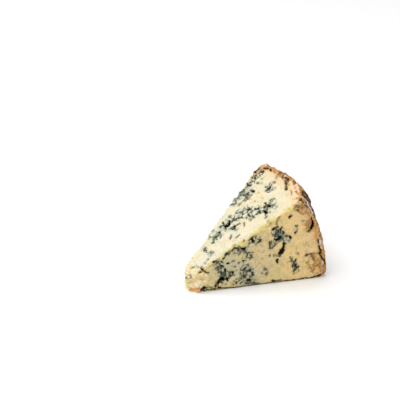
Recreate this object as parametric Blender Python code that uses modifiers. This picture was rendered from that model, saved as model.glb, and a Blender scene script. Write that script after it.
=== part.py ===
"""A wedge of blue cheese, as it was cut from a drum-shaped wheel.

The wheel lies on its side: its axis runs along +Y through WHEEL_CENTRE, at floor level. Two cuts run
out from the axis, one along the floor and one SECTOR above it, the front cut is square to the axis,
and the back cut slants from the centre to the wheel's far shoulder. The four meet in a point, which
has broken off. The ridge over the front cut and the heel under the rind are worn off too. What is left
of the wheel's own skin is the rind, at the +X end. Metres, +Z up.
"""

import math

import bmesh
import bpy
from mathutils import Vector, noise

NAME = "blue_cheese_wedge"

# The wheel, seen as a profile: distance from its axis against distance behind the front cut
WHEEL_RADIUS = 0.102
FULLEST_AT = 0.020
SIDE_ARC = 0.133
FLAT_AT = 0.0632
SHOULDER = 0.006
BEFORE_CUT = 0.010
SIDE_STEPS = 18
SHOULDER_STEPS = 6
TURN_STEPS = 144

# Where the wheel's centre lies in the part's frame, whose origin is under the middle of the wedge
WHEEL_CENTRE = Vector((-0.0593, -0.0316, 0.0))

# The cuts. Four of them are breaks: two at the point, one along the ridge between the front and the
# upper cut, and the heel, where the rind meets the floor
SECTOR = math.radians(32.6)
BACK_SLOPE = 0.755
TIP_LOST = 0.0154
TIP_FACE = Vector((-0.97, 0.12, -0.04))
TIP_SIDE_LOST = 0.0208
TIP_SIDE_FACE = Vector((-0.65, -0.76, 0.09))
RIDGE_LOST = 0.0011
HEEL_AT = 0.0965
HEEL_FACE = Vector((0.62, -0.10, -0.78))

# The skin: how finely it is modelled, and how far its edges are worn round
SKIN_STEP = 0.0011
EDGE_ROUNDS = 3
TRIANGLES = 8600
SETTLED = 0.0002
STILL_NEAR_FLOOR = 0.0022

# The relief
LUMP_SIZE = 0.013
LUMP_HEIGHT = 0.0005
CURD_SIZE = 0.0052
CURD_WARP = 0.0014
SEAM_WIDTH = 0.0012
SEAM_DEPTH = 0.0010
CHIP_REACH = 0.0040
CHIP_SIZE = 0.0050
CHIP_DEPTH = 0.0013
RIND_REACH = 0.0030
WRINKLE_SIZE = 0.0065
WRINKLE_HEIGHT = 0.0011

# Hollows where mould has opened the paste, on the front and the upper cut:
# face, distance from the wheel's centre, degrees from the cut's lower edge, half length, half width,
# degrees that the length is turned from the radius, depth
HOLLOWS = (
    ("front", 0.0965, 21.5, 0.0050, 0.0016, 75, 0.0034),
    ("front", 0.0975, 30.5, 0.0046, 0.0028, 20, 0.0022),
    ("front", 0.0750, 17.0, 0.0048, 0.0013, 55, 0.0026),
    ("front", 0.0765, 24.5, 0.0050, 0.0040, 60, 0.0012),
    ("front", 0.0355, 10.5, 0.0060, 0.0016, 45, 0.0030),
    ("front", 0.0380, 21.5, 0.0052, 0.0046, 0, 0.0013),
    ("front", 0.0517, 4.5, 0.0020, 0.0014, 0, 0.0024),
    ("front", 0.0515, 10.5, 0.0042, 0.0038, 0, 0.0011),
    ("front", 0.0540, 27.5, 0.0032, 0.0018, 0, 0.0026),
    ("front", 0.0615, 29.0, 0.0030, 0.0018, 15, 0.0018),
    ("front", 0.0810, 8.0, 0.0058, 0.0018, 80, 0.0012),
    ("front", 0.0670, 1.4, 0.0036, 0.0020, 0, 0.0024),
    ("upper", 0.0825, 12.0, 0.0022, 0.0018, 0, 0.0036),
    ("upper", 0.0784, 9.4, 0.0022, 0.0018, 0, 0.0034),
    ("upper", 0.0600, 26.0, 0.0042, 0.0024, 60, 0.0026),
    ("upper", 0.0600, 19.0, 0.0032, 0.0018, 60, 0.0012),
    ("upper", 0.0870, 32.0, 0.0070, 0.0030, 0, 0.0013),
    ("upper", 0.0731, 19.0, 0.0070, 0.0046, 30, 0.0010),
    ("upper", 0.0938, 21.2, 0.0036, 0.0030, 0, 0.0010),
    ("upper", 0.0972, 12.5, 0.0036, 0.0016, 60, 0.0022),
)

PASTE_COLOUR = (0.86, 0.76, 0.50, 1.0)
PASTE_ROUGHNESS = 0.55

UPPER_DIRECTION = Vector((math.cos(SECTOR), 0.0, math.sin(SECTOR)))
UPPER_NORMAL = Vector((-math.sin(SECTOR), 0.0, math.cos(SECTOR)))
MIDDLE_DIRECTION = Vector((math.cos(SECTOR / 2), 0.0, math.sin(SECTOR / 2)))
AXIS = Vector((0.0, 1.0, 0.0))
ACROSS = Vector((1.0, 0.0, 0.0))
RIDGE_NORMAL = (UPPER_NORMAL - AXIS).normalized()

# Each cut that bounds the wedge, as a point on it and the direction out of the cheese
CUTS = {
    "front": (Vector(), -AXIS),
    "floor": (Vector(), Vector((0.0, 0.0, -1.0))),
    "upper": (Vector(), UPPER_NORMAL),
    "back": (Vector(), (AXIS - BACK_SLOPE * MIDDLE_DIRECTION).normalized()),
    "tip": (TIP_LOST * ACROSS, TIP_FACE.normalized()),
    "tip side": (TIP_SIDE_LOST * ACROSS, TIP_SIDE_FACE.normalized()),
    "ridge": (-RIDGE_LOST * RIDGE_NORMAL, RIDGE_NORMAL),
    "heel": (HEEL_AT * ACROSS, HEEL_FACE.normalized()),
}


def clear_scene():
    for old in list(bpy.data.objects):
        bpy.data.objects.remove(old, do_unlink=True)


def smoothstep(low, high, value):
    share = min(1.0, max(0.0, (value - low) / (high - low)))
    return share * share * (3.0 - 2.0 * share)


def side_radius(behind):
    """The barrel side's distance from the axis, so far behind the front cut."""
    return WHEEL_RADIUS - SIDE_ARC + math.sqrt(SIDE_ARC**2 - (behind - FULLEST_AT) ** 2)


def wheel_profile():
    """Half of the wheel's outline, from the axis before the cut round to the axis at its flat."""
    shoulder_at = FLAT_AT - SHOULDER
    points = [(0.0, -BEFORE_CUT)]
    for step in range(SIDE_STEPS + 1):
        behind = -BEFORE_CUT + (shoulder_at + BEFORE_CUT) * step / SIDE_STEPS
        points.append((side_radius(behind), behind))
    inner = side_radius(shoulder_at) - SHOULDER
    for step in range(1, SHOULDER_STEPS + 1):
        turn = math.pi / 2 * step / SHOULDER_STEPS
        points.append((inner + SHOULDER * math.cos(turn), shoulder_at + SHOULDER * math.sin(turn)))
    points.append((0.0, FLAT_AT))
    return points


def mesh_of(obj):
    """A plain mesh of the object as its modifiers show it."""
    graph = bpy.context.evaluated_depsgraph_get()
    return bpy.data.meshes.new_from_object(obj.evaluated_get(graph))


def turned_wheel(collection):
    """The whole wheel, turned about its axis from the profile."""
    profile = bpy.data.meshes.new("wheel_profile")
    points = wheel_profile()
    edges = [(i, i + 1) for i in range(len(points) - 1)]
    profile.from_pydata([(radius, behind, 0.0) for radius, behind in points], edges, [])
    wheel = bpy.data.objects.new("wheel", profile)
    collection.objects.link(wheel)
    turn = wheel.modifiers.new("turn", "SCREW")
    turn.axis = "Y"
    turn.angle = 2 * math.pi
    turn.steps = TURN_STEPS
    turn.render_steps = TURN_STEPS
    turn.use_merge_vertices = True
    turn.merge_threshold = 0.00001
    return wheel


def shut_flat(shape, point, outward):
    """Cuts away what lies beyond a plane, and closes the cut with one flat face."""
    whole = shape.verts[:] + shape.edges[:] + shape.faces[:]
    cut = bmesh.ops.bisect_plane(
        shape, geom=whole, plane_co=point, plane_no=outward, clear_outer=True, dist=0.000001
    )
    rim = [item for item in cut["geom_cut"] if isinstance(item, bmesh.types.BMEdge)]
    bmesh.ops.triangle_fill(shape, edges=rim, use_beauty=True)
    bmesh.ops.recalc_face_normals(shape, faces=shape.faces)


def cut_wedge(wheel):
    """The wheel's mesh with all that lies outside the cuts taken away, each cut closed by a face."""
    shape = bmesh.new()
    shape.from_mesh(mesh_of(wheel))
    bmesh.ops.remove_doubles(shape, verts=shape.verts, dist=0.00001)
    for point, outward in CUTS.values():
        shut_flat(shape, point, outward)
    mesh = bpy.data.meshes.new("cut_wedge")
    shape.to_mesh(mesh)
    shape.free()
    return mesh


def even_skin(wedge):
    """An evenly meshed skin over the cut wedge, with its edges worn round."""
    remesh = wedge.modifiers.new("even skin", "REMESH")
    remesh.mode = "VOXEL"
    remesh.voxel_size = SKIN_STEP
    worn = wedge.modifiers.new("worn edges", "SMOOTH")
    worn.factor = 0.5
    worn.iterations = EDGE_ROUNDS
    mesh = mesh_of(wedge)
    wedge.modifiers.clear()
    return mesh


def depths_under_cuts(point):
    """How deep the point lies under each cut but the floor, shallowest first."""
    found = [(start - point).dot(out) for name, (start, out) in CUTS.items() if name != "floor"]
    return sorted(found)


def rind_depth(point):
    """How deep the point lies under the wheel's own skin."""
    under_side = side_radius(point.y) - math.hypot(point.x, point.z)
    return min(under_side, FLAT_AT - point.y)


def seam_distance(point):
    """How far the point lies from the nearest seam between two curds."""
    warped = point + CURD_WARP * noise.noise_vector(point / CURD_SIZE)
    place = warped / CURD_SIZE
    centres = noise.voronoi(place)[1]
    across = centres[1] - centres[0]
    return CURD_SIZE * ((centres[0] + centres[1]) / 2 - place).dot(across.normalized())


def face_frame(face):
    """The directions along and across one of the two sector-shaped cuts."""
    if face == "front":
        return ACROSS, Vector((0.0, 0.0, 1.0))
    return UPPER_DIRECTION, AXIS


def hollow_depth(point):
    """How far mould has sunk the paste at the point, as the deepest of its hollows."""
    sunk = 0.0
    for face, distance, degrees, half_length, half_width, turned, depth in HOLLOWS:
        if abs((CUTS[face][0] - point).dot(CUTS[face][1])) > 2 * half_length:
            continue
        along, across = face_frame(face)
        angle = math.radians(degrees)
        radial = math.cos(angle) * along + math.sin(angle) * across
        sideways = math.cos(angle) * across - math.sin(angle) * along
        offset = point - distance * radial
        lean = math.radians(turned)
        forward = offset.dot(math.cos(lean) * radial + math.sin(lean) * sideways)
        aside = offset.dot(math.cos(lean) * sideways - math.sin(lean) * radial)
        reach = math.hypot(forward / half_length, aside / half_width)
        reach += 0.35 * noise.noise(point / (0.5 * half_length))
        sunk = max(sunk, depth * smoothstep(1.25, 0.35, reach))
    return sunk


def paste_relief(point):
    """How far the cut paste stands out, in metres: lumps, curd seams, hollows and chipped edges."""
    lumps = LUMP_HEIGHT * noise.noise(point / LUMP_SIZE)
    opened = smoothstep(-0.1, 0.5, noise.noise(point / (2.2 * LUMP_SIZE) + AXIS))
    seam = SEAM_DEPTH * opened * smoothstep(SEAM_WIDTH, 0.0, seam_distance(point))
    edge = smoothstep(CHIP_REACH, 0.0, depths_under_cuts(point)[1])
    chips = CHIP_DEPTH * edge * smoothstep(0.0, 0.6, noise.noise(point / CHIP_SIZE))
    return lumps - seam - chips - hollow_depth(point)


def rind_relief(point):
    """How far the rind stands out, in metres: a natural crust of folds, knobs and pits."""
    folds = 1.0 - 2.4 * abs(noise.noise(point / WRINKLE_SIZE))
    knobs = noise.noise(2.3 * point / WRINKLE_SIZE + AXIS)
    slow = noise.noise(point / (3.5 * WRINKLE_SIZE))
    return WRINKLE_HEIGHT * (0.55 * folds + 0.45 * knobs + 0.6 * slow - 0.3)


def carve(mesh):
    """Moves the skin out and in by the relief, and sets the underside flat on the floor."""
    shape = bmesh.new()
    shape.from_mesh(mesh)
    shape.normal_update()
    moves = []
    for vert in shape.verts:
        rind = smoothstep(RIND_REACH, 0.0, rind_depth(vert.co))
        relief = rind * rind_relief(vert.co) + (1.0 - rind) * paste_relief(vert.co)
        moves.append(smoothstep(0.0, STILL_NEAR_FLOOR, vert.co.z) * relief * vert.normal)
    for vert, move in zip(shape.verts, moves):
        vert.co += move
    shape.to_mesh(mesh)
    shape.free()


def fewer_faces(wedge):
    """The carved skin with fewer faces, and most of them where the relief is."""
    fewer = wedge.modifiers.new("fewer faces", "DECIMATE")
    fewer.ratio = TRIANGLES / (2 * len(wedge.data.polygons))
    mesh = mesh_of(wedge)
    wedge.modifiers.clear()
    return mesh


def settle(mesh):
    """Trims the underside to one flat face and sets it down on the floor."""
    shape = bmesh.new()
    shape.from_mesh(mesh)
    lowest = Vector((0.0, 0.0, SETTLED))
    shut_flat(shape, lowest, Vector((0.0, 0.0, -1.0)))
    bmesh.ops.translate(shape, verts=shape.verts, vec=WHEEL_CENTRE - lowest)
    shape.to_mesh(mesh)
    shape.free()


def paste_material():
    material = bpy.data.materials.new("paste")
    material.use_nodes = True
    shader = material.node_tree.nodes["Principled BSDF"]
    shader.inputs["Base Color"].default_value = PASTE_COLOUR
    shader.inputs["Roughness"].default_value = PASTE_ROUGHNESS
    shader.inputs["Metallic"].default_value = 0.0
    return material


def main():
    clear_scene()
    parts = bpy.data.collections.new(NAME)
    bpy.context.scene.collection.children.link(parts)
    wheel = turned_wheel(parts)
    wedge = bpy.data.objects.new(NAME, cut_wedge(wheel))
    parts.objects.link(wedge)
    bpy.data.objects.remove(wheel, do_unlink=True)
    wedge.data = even_skin(wedge)
    carve(wedge.data)
    wedge.data = fewer_faces(wedge)
    settle(wedge.data)
    wedge.data.materials.append(paste_material())


main()
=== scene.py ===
"""The looks of a wedge of blue cheese, cut from a drum-shaped wheel with a natural rind.

The wedge is modelled again over its CAD solid, finely enough for open curd seams, mould hollows,
chipped edges and a wrinkled crust. Each point of it also keeps how far it lies from the mould, the
crust and the edges, so that the cheese's one material can follow them. Lengths are in metres.
"""

import functools
import math
from types import SimpleNamespace

import bmesh
import bpy
import numpy as np
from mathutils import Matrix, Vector, noise


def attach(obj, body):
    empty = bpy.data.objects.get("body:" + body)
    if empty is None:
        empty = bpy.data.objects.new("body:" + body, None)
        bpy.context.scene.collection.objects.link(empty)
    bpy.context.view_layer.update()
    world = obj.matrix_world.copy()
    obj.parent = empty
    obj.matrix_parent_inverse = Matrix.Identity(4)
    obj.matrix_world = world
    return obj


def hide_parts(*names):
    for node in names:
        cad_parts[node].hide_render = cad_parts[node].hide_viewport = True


MM = 0.001
WEDGE = "blue_cheese_wedge"

# The wheel, as in the CAD: its profile's sizes, its centre in the part's frame, and the cuts
WHEEL_RADIUS = 102 * MM
FULLEST_AT = 20 * MM
SIDE_ARC = 133 * MM
FLAT_AT = 63.2 * MM
SHOULDER = 6 * MM
BEFORE_CUT = 10 * MM
WHEEL_CENTRE = Vector((-59.3, -31.6, 0.0)) * MM
SECTOR = math.radians(32.6)
BACK_SLOPE = 0.755
TIP_LOST = 15.4 * MM
TIP_FACE = Vector((-0.97, 0.12, -0.04))
TIP_SIDE_LOST = 20.8 * MM
TIP_SIDE_FACE = Vector((-0.65, -0.76, 0.09))
RIDGE_LOST = 1.1 * MM
HEEL_AT = 96.5 * MM
HEEL_FACE = Vector((0.62, -0.10, -0.78))
SIDE_STEPS, SHOULDER_STEPS, TURN_STEPS = 18, 6, 144

UPPER_NORMAL = Vector((-math.sin(SECTOR), 0.0, math.cos(SECTOR)))
MIDDLE_DIRECTION = Vector((math.cos(SECTOR / 2), 0.0, math.sin(SECTOR / 2)))
ACROSS = Vector((1.0, 0.0, 0.0))
AXIS = Vector((0.0, 1.0, 0.0))
UP = Vector((0.0, 0.0, 1.0))
RIDGE_NORMAL = (UPPER_NORMAL - AXIS).normalized()

# Each cut as a point on it and the direction out of the cheese
CUTS = {
    "front": (Vector(), -AXIS),
    "floor": (Vector(), -UP),
    "upper": (Vector(), UPPER_NORMAL),
    "back": (Vector(), (AXIS - BACK_SLOPE * MIDDLE_DIRECTION).normalized()),
    "tip": (TIP_LOST * ACROSS, TIP_FACE.normalized()),
    "tip side": (TIP_SIDE_LOST * ACROSS, TIP_SIDE_FACE.normalized()),
    "ridge": (-RIDGE_LOST * RIDGE_NORMAL, RIDGE_NORMAL),
    "heel": (HEEL_AT * ACROSS, HEEL_FACE.normalized()),
}

# The skin, and how far its relief stands out or goes in
SKIN_STEP = 0.46 * MM
EDGE_ROUNDS = 9
CRUST_THICK = 3 * MM
CRUST_RELIEF = 0.9 * MM
CRUST_WRINKLE = 6.5 * MM
BULGE = 1.2 * MM
MOULD_DEPTH = 0.5 * MM
PIT_DEPTH = 1.6 * MM

# The camera stands as the photograph's did, around the wheel's centre, and sees it in a square frame
CAMERA_AZIMUTH = math.radians(-14.25)
CAMERA_ELEVATION = math.radians(24.0)
CAMERA_AIM = Vector((28.4, 25.0, 47.7)) * MM
CAMERA_DISTANCE = 587.6 * MM
CAMERA_LENS = 90.0
CAMERA_SENSOR = 36.0
PHOTO_SIDE = 400
CAMERA_BACK = Vector((
    math.sin(CAMERA_AZIMUTH) * math.cos(CAMERA_ELEVATION),
    -math.cos(CAMERA_AZIMUTH) * math.cos(CAMERA_ELEVATION),
    math.sin(CAMERA_ELEVATION),
))
CAMERA_RIGHT = Vector((math.cos(CAMERA_AZIMUTH), math.sin(CAMERA_AZIMUTH), 0.0))
CAMERA_UP = CAMERA_BACK.cross(CAMERA_RIGHT)
CAMERA_PLACE = CAMERA_AIM + CAMERA_DISTANCE * CAMERA_BACK

# The marks below were picked in the photograph. Each is a stroke on whatever face is seen
# there: the pixels where it starts and ends, and its half width in pixels.
PIXELS_PER_MM = 1.63

# Mould in cracks and holes, and a dark line along the bottom edge that is partly mould and partly
# painted contact shadow: also how dark and deep it is, and its tone from blue-black 0 to brown 1
MOULD_AND_CONTACT_SHADOW = (
    # the big patch in the middle of the front, its arms and the crevice under it
    (272.7, 229.8, 274.6, 229.0, 1.0, 1.0, 0.1), (275.6, 228.2, 277.4, 227.0, 0.9, 1.0, 0.1),
    (281.5, 227.2, 280.4, 229.8, 1.0, 1.0, 0.1), (283.0, 232.0, 284.0, 234.0, 1.0, 0.9, 0.0),
    (276.2, 232.0, 275.2, 236.5, 0.7, 0.9, 0.0), (279.8, 237.5, 278.0, 239.5, 1.9, 1.0, 0.0),
    (274.2, 239.2, 277.0, 240.6, 0.9, 1.1, 0.1), (283.5, 236.5, 283.0, 240.5, 0.6, 0.9, 0.0),
    (285.2, 235.6, 288.0, 236.2, 0.6, 1.0, 0.3), (289.6, 236.5, 290.9, 238.3, 1.0, 1.0, 0.2),
    (290.2, 239.4, 288.6, 241.2, 0.7, 0.8, 0.2), (279.0, 230.4, 280.4, 231.2, 0.8, 0.9, 0.0),
    (284.4, 243.4, 283.0, 249.0, 1.4, 1.3, 0.9), (283.0, 249.0, 279.8, 254.0, 2.0, 1.3, 0.9),
    (274.0, 255.4, 279.6, 255.8, 0.9, 0.5, 0.9), (269.8, 256.2, 270.2, 255.2, 0.8, 0.7, 0.6),
    # the ring to its left, and the dots under it
    (269.8, 242.4, 270.2, 248.2, 0.9, 0.9, 0.4), (273.2, 247.4, 275.8, 244.2, 0.7, 0.9, 0.3),
    (275.9, 244.0, 275.6, 241.4, 0.6, 0.8, 0.4), (271.0, 249.0, 272.6, 248.4, 0.7, 0.7, 0.5),
    (270.6, 241.6, 272.0, 240.8, 0.6, 0.7, 0.5), (277.2, 259.9, 277.3, 262.0, 1.2, 1.2, 0.1),
    (298.2, 254.1, 298.2, 254.2, 0.9, 0.8, 0.8),
    # the crease that runs down from the ridge, and brown marks towards the rind
    (279.3, 217.0, 277.6, 219.2, 0.9, 0.6, 0.7), (277.4, 219.4, 276.6, 224.6, 0.7, 0.55, 0.7),
    (270.3, 223.4, 270.8, 224.8, 0.9, 0.5, 0.7), (291.2, 215.8, 289.7, 217.5, 1.0, 1.0, 0.9),
    (302.0, 221.0, 303.4, 221.0, 0.7, 0.45, 0.9), (295.6, 226.2, 297.6, 226.0, 0.8, 0.8, 0.7),
    (296.6, 227.0, 297.0, 231.0, 0.6, 0.6, 0.7), (296.8, 231.4, 295.4, 232.9, 0.9, 0.9, 0.4),
    # the star of blue mould in the lower right
    (290.3, 257.5, 292.2, 261.8, 0.6, 0.9, 0.2), (295.5, 259.6, 295.2, 261.6, 0.9, 1.1, 0.0),
    (289.6, 261.0, 291.6, 261.8, 0.7, 0.7, 0.2), (294.0, 262.0, 294.4, 266.0, 1.2, 0.7, 0.0),
    (292.4, 267.4, 293.0, 265.0, 0.8, 0.9, 0.3), (296.0, 264.6, 295.6, 269.2, 1.0, 1.0, 0.1),
    (298.6, 266.2, 296.4, 269.0, 0.9, 0.9, 0.6), (295.4, 269.8, 293.8, 271.6, 1.0, 0.9, 0.1),
    (298.4, 269.4, 298.6, 271.0, 0.5, 0.7, 0.6), (294.0, 272.6, 294.0, 274.0, 0.6, 0.6, 0.9),
    # small grey stars at the foot
    (264.6, 269.0, 267.0, 269.2, 0.9, 0.7, 0.4), (263.6, 266.8, 264.2, 267.6, 0.5, 0.5, 0.4),
    (266.2, 273.2, 266.6, 274.8, 1.0, 0.65, 0.3), (261.8, 273.6, 262.6, 272.8, 0.6, 0.6, 0.6),
    # the dark seam under the ridge and the hole in it
    (223.4, 258.6, 225.6, 254.0, 0.9, 1.1, 0.7), (226.0, 253.0, 228.8, 254.2, 1.1, 1.2, 0.6),
    (228.8, 254.2, 233.2, 248.2, 0.9, 1.1, 0.6), (233.2, 248.0, 237.4, 248.4, 0.9, 1.1, 0.6),
    (237.6, 250.2, 238.6, 250.0, 0.6, 0.9, 0.2), (239.0, 246.2, 241.4, 247.0, 0.6, 0.9, 0.4),
    (242.2, 249.5, 244.2, 249.3, 1.4, 1.5, 0.0), (245.8, 247.4, 246.8, 247.2, 0.8, 1.0, 0.5),
    (240.6, 252.0, 238.4, 254.8, 0.7, 0.8, 0.5), (243.4, 252.0, 246.4, 252.4, 0.5, 0.8, 0.4),
    (247.4, 254.2, 246.6, 257.0, 0.8, 0.9, 0.3), (250.8, 255.0, 251.7, 257.0, 0.9, 0.9, 0.3),
    (251.6, 257.2, 250.2, 258.8, 1.0, 0.9, 0.3), (252.0, 252.4, 252.8, 252.4, 0.7, 0.7, 0.6),
    # the black star on the ridge
    (252.3, 239.2, 253.6, 241.7, 1.3, 1.3, 0.1), (249.2, 244.0, 249.6, 243.6, 0.8, 0.9, 0.7),
    (249.2, 244.2, 248.6, 246.6, 0.5, 0.6, 0.6), (254.7, 236.4, 254.5, 237.6, 0.7, 0.8, 0.7),
    (260.7, 240.0, 260.2, 241.6, 1.0, 1.0, 0.4), (259.6, 241.8, 257.6, 242.8, 0.9, 0.9, 0.5),
    (256.6, 243.6, 255.8, 245.6, 0.6, 0.7, 0.5), (250.4, 237.4, 251.0, 237.4, 0.7, 0.6, 0.8),
    # dots between the clusters
    (242.8, 260.7, 245.4, 260.4, 0.7, 1.1, 0.6), (243.4, 261.6, 243.6, 262.4, 0.8, 1.1, 0.6),
    (232.2, 261.6, 233.6, 261.2, 0.7, 0.8, 0.7), (227.6, 263.8, 228.6, 263.6, 1.0, 1.0, 0.6),
    (238.4, 263.4, 239.2, 262.2, 0.6, 0.7, 0.7), (234.8, 266.2, 235.4, 266.4, 0.8, 0.8, 0.6),
    (232.6, 266.6, 232.6, 266.4, 0.6, 0.5, 0.6), (231.0, 270.6, 233.0, 271.2, 0.5, 0.5, 0.5),
    (235.0, 271.0, 236.6, 270.2, 0.5, 0.5, 0.5),
    # the big cluster near the tip, and the black crevice that runs down from it
    (212.8, 262.2, 216.0, 261.8, 1.0, 1.0, 0.7), (218.0, 261.0, 218.8, 260.4, 0.7, 0.9, 0.7),
    (221.4, 261.8, 222.6, 262.8, 0.8, 0.9, 0.3), (220.8, 265.8, 222.8, 266.8, 1.0, 1.0, 0.3),
    (216.8, 263.6, 216.8, 265.6, 0.8, 0.8, 0.4), (217.4, 267.8, 218.2, 270.2, 1.0, 0.9, 0.3),
    (215.2, 269.2, 216.0, 268.8, 0.9, 0.9, 0.6), (225.4, 269.6, 225.6, 272.8, 1.2, 1.0, 0.2),
    (220.8, 271.6, 221.4, 274.2, 0.9, 0.8, 0.1), (223.0, 273.2, 223.8, 276.4, 1.4, 0.7, 0.0),
    (232.6, 272.6, 233.2, 273.2, 1.2, 1.1, 0.1), (227.6, 271.4, 230.8, 272.2, 0.6, 0.8, 0.4),
    (231.2, 275.6, 229.6, 277.6, 0.6, 0.8, 0.6), (227.2, 278.2, 227.6, 280.0, 1.2, 1.1, 0.3),
    (220.6, 279.0, 223.8, 279.8, 1.6, 1.5, 0.5), (220.0, 279.8, 218.0, 283.6, 1.3, 1.3, 0.7),
    (216.2, 285.2, 215.6, 286.6, 1.1, 1.2, 0.7), (218.4, 288.2, 220.6, 287.8, 1.0, 1.1, 0.5),
    # the round speckled cluster, the pit and dots under it, and the dark line along the bottom edge,
    # partly mould and partly painted contact shadow
    (244.6, 268.6, 246.0, 267.8, 1.0, 1.0, 0.6), (244.0, 270.0, 244.4, 269.6, 0.9, 0.9, 0.4),
    (249.6, 271.4, 250.4, 270.0, 0.9, 1.0, 0.2), (252.0, 269.4, 252.8, 269.2, 0.6, 0.8, 0.3),
    (252.6, 272.6, 253.0, 275.0, 1.3, 0.9, 0.1), (246.6, 273.6, 246.8, 274.2, 0.6, 0.8, 0.1),
    (243.8, 276.8, 245.0, 276.4, 0.9, 1.1, 0.2), (241.4, 276.6, 241.8, 277.6, 0.7, 0.9, 0.2),
    (250.0, 276.6, 251.0, 277.2, 0.8, 0.7, 0.2), (240.4, 272.8, 240.4, 274.6, 0.8, 0.7, 0.2),
    (239.8, 278.6, 240.8, 278.8, 0.8, 0.7, 0.5), (247.4, 281.1, 249.8, 280.4, 1.2, 1.6, 0.1),
    (240.8, 282.8, 241.4, 282.2, 1.0, 1.1, 0.6), (236.6, 282.2, 236.6, 283.8, 0.7, 0.9, 0.7),
    (233.0, 284.4, 233.2, 284.2, 0.7, 0.8, 0.7), (225.6, 284.4, 226.0, 284.0, 0.6, 0.7, 0.7),
    (245.6, 283.6, 257.6, 283.6, 0.9, 0.8, 0.2), (273.0, 281.2, 274.4, 281.6, 1.2, 1.5, 0.7),
    (275.0, 280.8, 280.6, 280.4, 0.8, 0.7, 0.9), (264.0, 284.0, 283.0, 281.2, 0.7, 0.7, 0.9),
    (283.0, 281.0, 301.0, 279.2, 0.7, 0.9, 0.9), (301.0, 279.2, 314.0, 277.6, 0.8, 0.9, 0.9),
    (218.0, 289.0, 240.0, 286.8, 0.6, 0.9, 0.8), (240.0, 286.8, 264.0, 284.0, 0.6, 0.8, 0.8),
    # the curved crack near the tip, its dark foot, and the dark line along the bottom edge under the tip,
    # partly mould and partly painted contact shadow
    (201.4, 268.8, 203.0, 270.0, 1.0, 1.1, 0.3), (203.0, 270.0, 205.4, 272.4, 0.7, 0.9, 0.5),
    (205.4, 272.4, 208.4, 273.6, 0.8, 0.8, 0.6), (201.6, 266.0, 202.0, 267.4, 0.7, 0.6, 0.1),
    (198.8, 272.6, 200.6, 271.8, 0.9, 0.9, 0.9), (201.6, 289.6, 205.6, 287.6, 0.9, 1.1, 0.7),
    (201.0, 290.8, 217.0, 289.2, 0.7, 1.0, 0.8), (185.8, 277.6, 186.4, 277.8, 0.9, 1.1, 0.4),
    (190.2, 275.0, 190.8, 277.4, 0.6, 0.5, 0.8),
    # the deep crevice beside the rind, and brown cracks below it
    (311.4, 217.4, 312.2, 221.0, 0.7, 1.0, 0.9), (312.9, 221.6, 312.8, 226.0, 1.3, 1.6, 0.8),
    (312.4, 226.0, 311.2, 228.8, 1.4, 1.6, 0.8), (309.6, 231.0, 308.8, 231.8, 1.0, 0.8, 0.8),
    (305.4, 256.0, 308.0, 254.4, 0.7, 1.0, 1.0), (308.0, 254.3, 311.4, 253.8, 0.6, 0.7, 1.0),
    (311.4, 254.2, 314.4, 259.8, 0.7, 0.7, 1.0), (312.0, 253.6, 318.4, 252.8, 0.5, 0.6, 1.0),
    # holes and seams on the upper cut, from the ridge end down to the tip
    (267.8, 205.4, 269.2, 205.8, 1.4, 1.6, 0.0), (265.4, 203.4, 266.0, 204.2, 0.8, 1.0, 0.3),
    (267.4, 207.4, 267.0, 209.6, 0.8, 0.8, 0.5), (265.2, 211.4, 266.4, 212.0, 1.5, 1.6, 0.0),
    (263.4, 210.8, 264.6, 211.0, 1.0, 1.2, 0.1), (270.0, 201.0, 272.8, 199.2, 0.7, 0.7, 0.2),
    (270.4, 202.0, 270.0, 204.0, 0.6, 0.6, 0.2), (272.2, 205.2, 272.8, 205.4, 0.8, 0.6, 0.1),
    (266.8, 215.4, 265.4, 217.6, 0.9, 0.7, 0.2), (269.0, 212.4, 270.2, 212.2, 0.7, 0.5, 0.1),
    (276.6, 206.8, 277.4, 206.2, 0.6, 0.4, 0.2), (267.4, 221.4, 268.4, 221.0, 0.7, 0.4, 0.8),
    (249.0, 208.0, 249.4, 208.6, 0.9, 1.0, 0.5), (255.2, 208.8, 255.8, 209.0, 0.9, 1.0, 0.5),
    (250.6, 212.2, 251.8, 211.6, 0.9, 1.0, 0.5), (248.4, 214.0, 249.6, 216.0, 1.0, 1.1, 0.4),
    (246.0, 218.2, 246.8, 217.2, 0.8, 0.9, 0.5), (244.6, 208.6, 247.0, 209.4, 0.5, 0.7, 0.6),
    (247.0, 209.4, 248.2, 213.6, 0.4, 0.6, 0.5), (243.2, 209.6, 239.4, 215.6, 0.45, 0.6, 0.6),
    (251.6, 211.0, 254.8, 210.0, 0.4, 0.5, 0.5), (259.0, 212.2, 260.2, 211.4, 0.9, 1.0, 0.5),
    (256.6, 214.4, 257.4, 213.6, 0.7, 0.8, 0.5), (260.4, 211.2, 263.2, 210.2, 0.45, 0.7, 0.5),
    (253.0, 218.2, 254.2, 217.8, 0.9, 0.6, 0.1), (250.0, 220.4, 251.0, 220.0, 0.8, 0.6, 0.1),
    (243.9, 222.8, 244.6, 225.2, 0.6, 0.8, 0.6), (238.6, 217.4, 239.8, 217.2, 0.8, 0.9, 0.6),
    (231.2, 221.6, 235.0, 219.2, 0.6, 0.9, 0.4), (235.0, 219.2, 238.6, 217.6, 0.6, 0.8, 0.5),
    (229.4, 221.6, 227.4, 225.4, 1.5, 1.6, 0.0), (227.4, 225.6, 224.4, 225.8, 1.3, 1.5, 0.0),
    (223.0, 223.2, 223.6, 223.8, 0.9, 1.0, 0.2), (234.6, 225.6, 233.6, 228.4, 1.2, 1.2, 0.4),
    (235.0, 225.4, 240.0, 223.2, 0.6, 0.9, 0.5), (232.0, 228.8, 233.2, 228.6, 0.8, 1.0, 0.4),
    (224.6, 228.8, 225.4, 228.4, 0.8, 0.8, 0.2), (220.6, 227.4, 221.6, 226.4, 0.8, 0.8, 0.3),
    (230.6, 216.0, 229.0, 217.4, 0.7, 0.8, 0.6), (230.8, 235.6, 229.6, 238.0, 0.9, 0.9, 0.6),
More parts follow.
